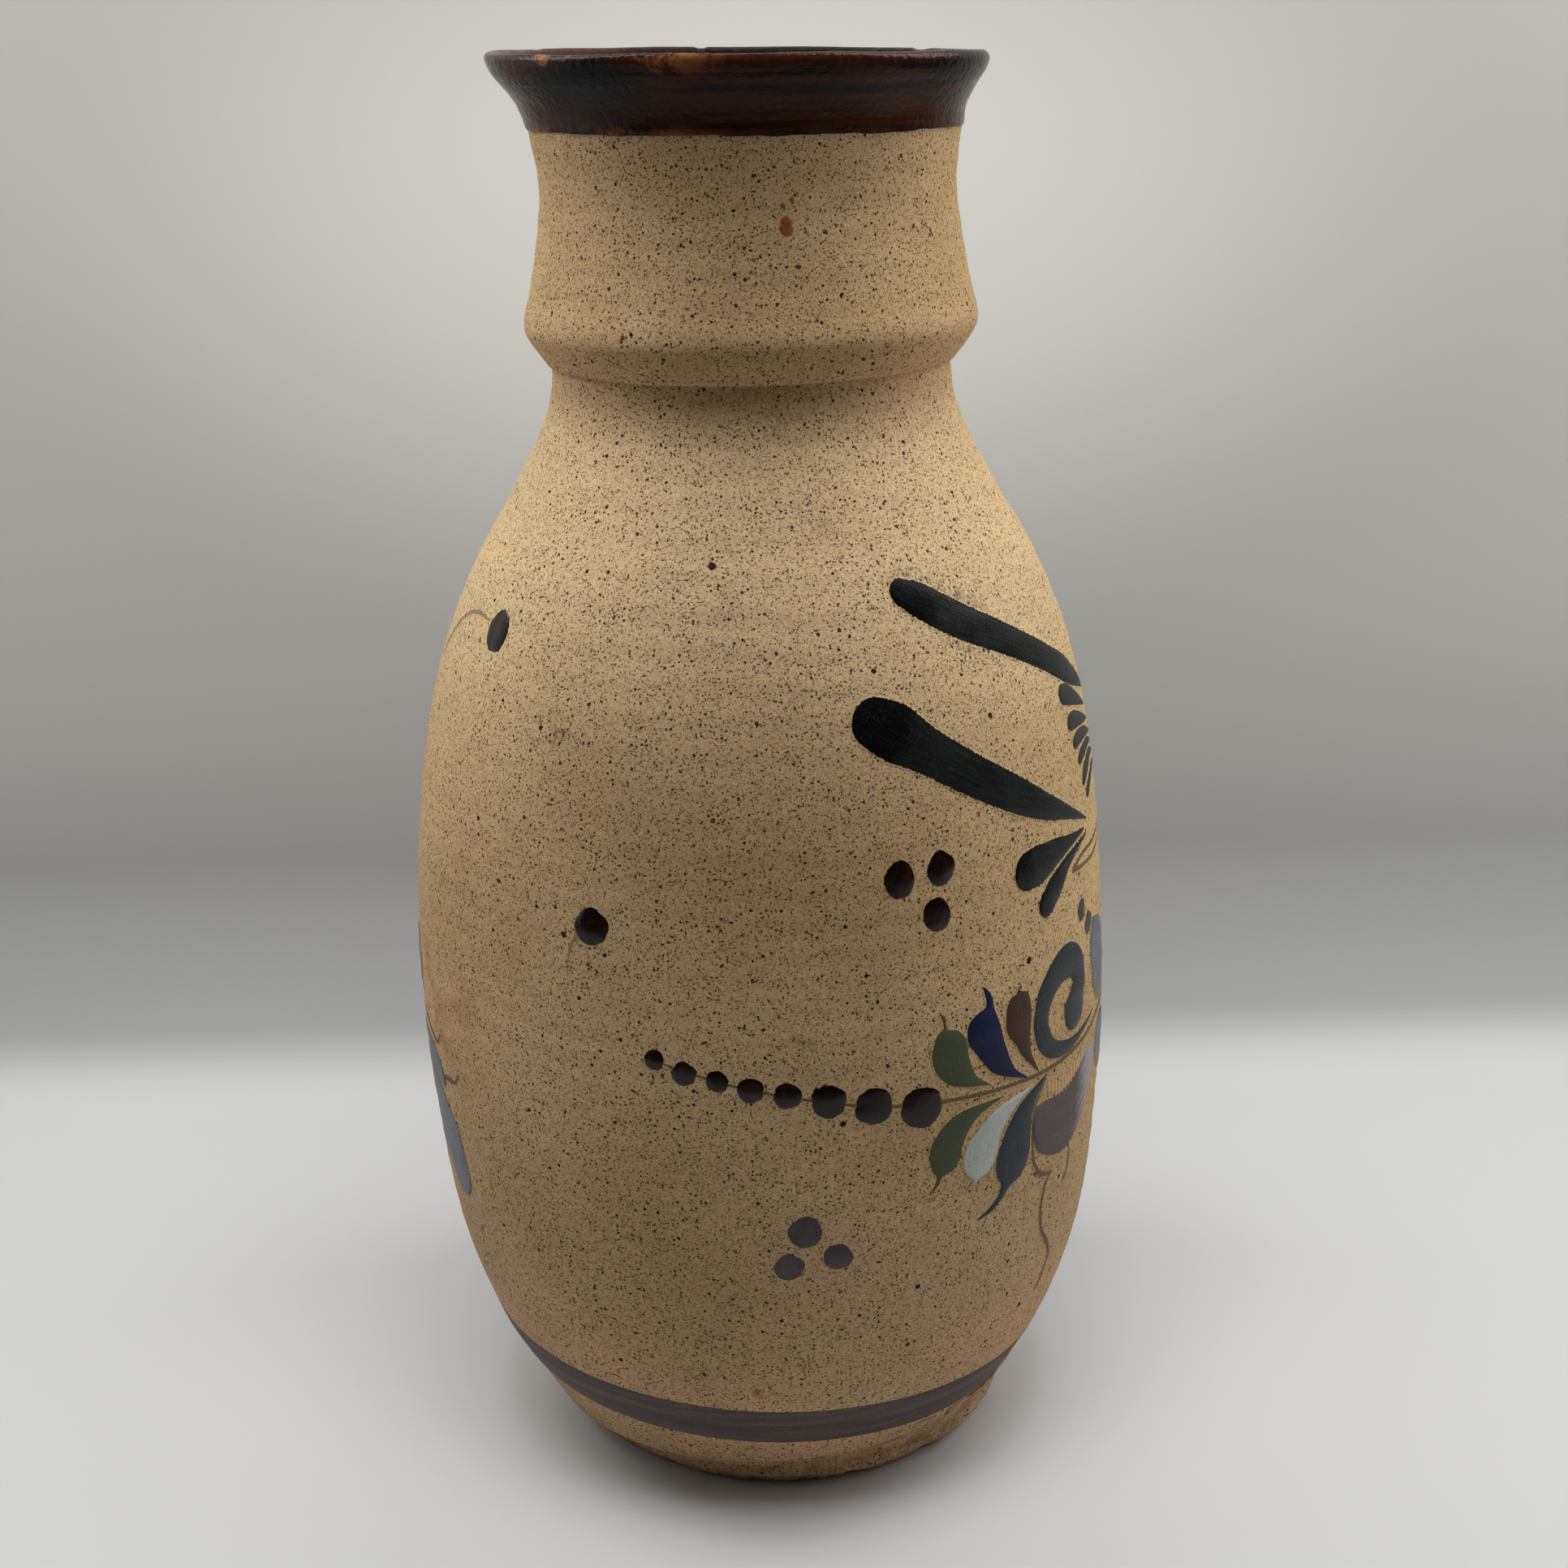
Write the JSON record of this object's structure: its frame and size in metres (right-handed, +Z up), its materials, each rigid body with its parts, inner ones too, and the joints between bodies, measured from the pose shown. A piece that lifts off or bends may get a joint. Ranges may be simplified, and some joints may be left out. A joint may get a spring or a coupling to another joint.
{
  "type": "pottery vase",
  "caption": "Hand-thrown stoneware vase with a flared glazed lip, collared neck, full belly and foot ring, brush-painted with leaves, petals and dots.",
  "frame": {"origin": "centre of the surface that the vase stands on, under the middle of the belly", "axes": "+Z up along the thrown axis to the mouth; -Y faces the viewer; the main painted spray is on the +X side"},
  "size_m": [0.1518, 0.1518, 0.3],
  "materials": {
    "bare_clay": "matte speckled stoneware",
    "lip_glaze": "glossy dark brown iron glaze",
    "liner_glaze": "satin dark brown glaze",
    "foot_slip": "matte grey-brown slip",
    "leaf_enamel": "satin blue-black",
    "fern_enamel": "satin grey-black",
    "stem_oxide": "matte brown oxide",
    "bead_glaze": "glossy brown-black",
    "dot_slip": "matte grey-brown slip",
    "green_enamel": "satin olive green",
    "cobalt_enamel": "satin cobalt blue",
    "maroon_enamel": "satin maroon brown",
    "white_enamel": "satin pale blue-white",
    "teal_enamel": "satin dark teal",
    "purple_slip": "matte purple-brown",
    "cream_slip": "matte cream",
    "scroll_enamel": "satin blue-grey",
    "grey_enamel": "satin grey-blue"
  },
  "bodies": {
    "root": {"foot_ring": "bare_clay", "floor_slab": "bare_clay", "belly_wall": "bare_clay", "neck_collar": "bare_clay", "lip_glaze": "lip_glaze", "liner_glaze": "liner_glaze", "foot_band": "foot_slip", "upper_leaf_stroke": "leaf_enamel", "lower_leaf_stroke": "leaf_enamel", "small_leaf_strokes": "leaf_enamel", "fern_leaflets": "fern_enamel", "fern_stem": "stem_oxide", "upper_dot_trio": "bead_glaze", "lower_dot_trio": "dot_slip", "side_dots": "bead_glaze", "bead_string": "bead_glaze", "flower_stem": "stem_oxide", "green_petals": "green_enamel", "cobalt_petals": "cobalt_enamel", "maroon_petals": "maroon_enamel", "white_petals": "white_enamel", "teal_petals": "teal_enamel", "purple_petals": "purple_slip", "petal_fringe": "cream_slip", "scroll_strokes": "scroll_enamel", "heart_petals": "grey_enamel", "grey_dots": "dot_slip", "tendrils": "stem_oxide", "side_petals": "grey_enamel", "side_scrolls": "stem_oxide", "dot_tendrils": "stem_oxide"}
  },
  "joints": []
}
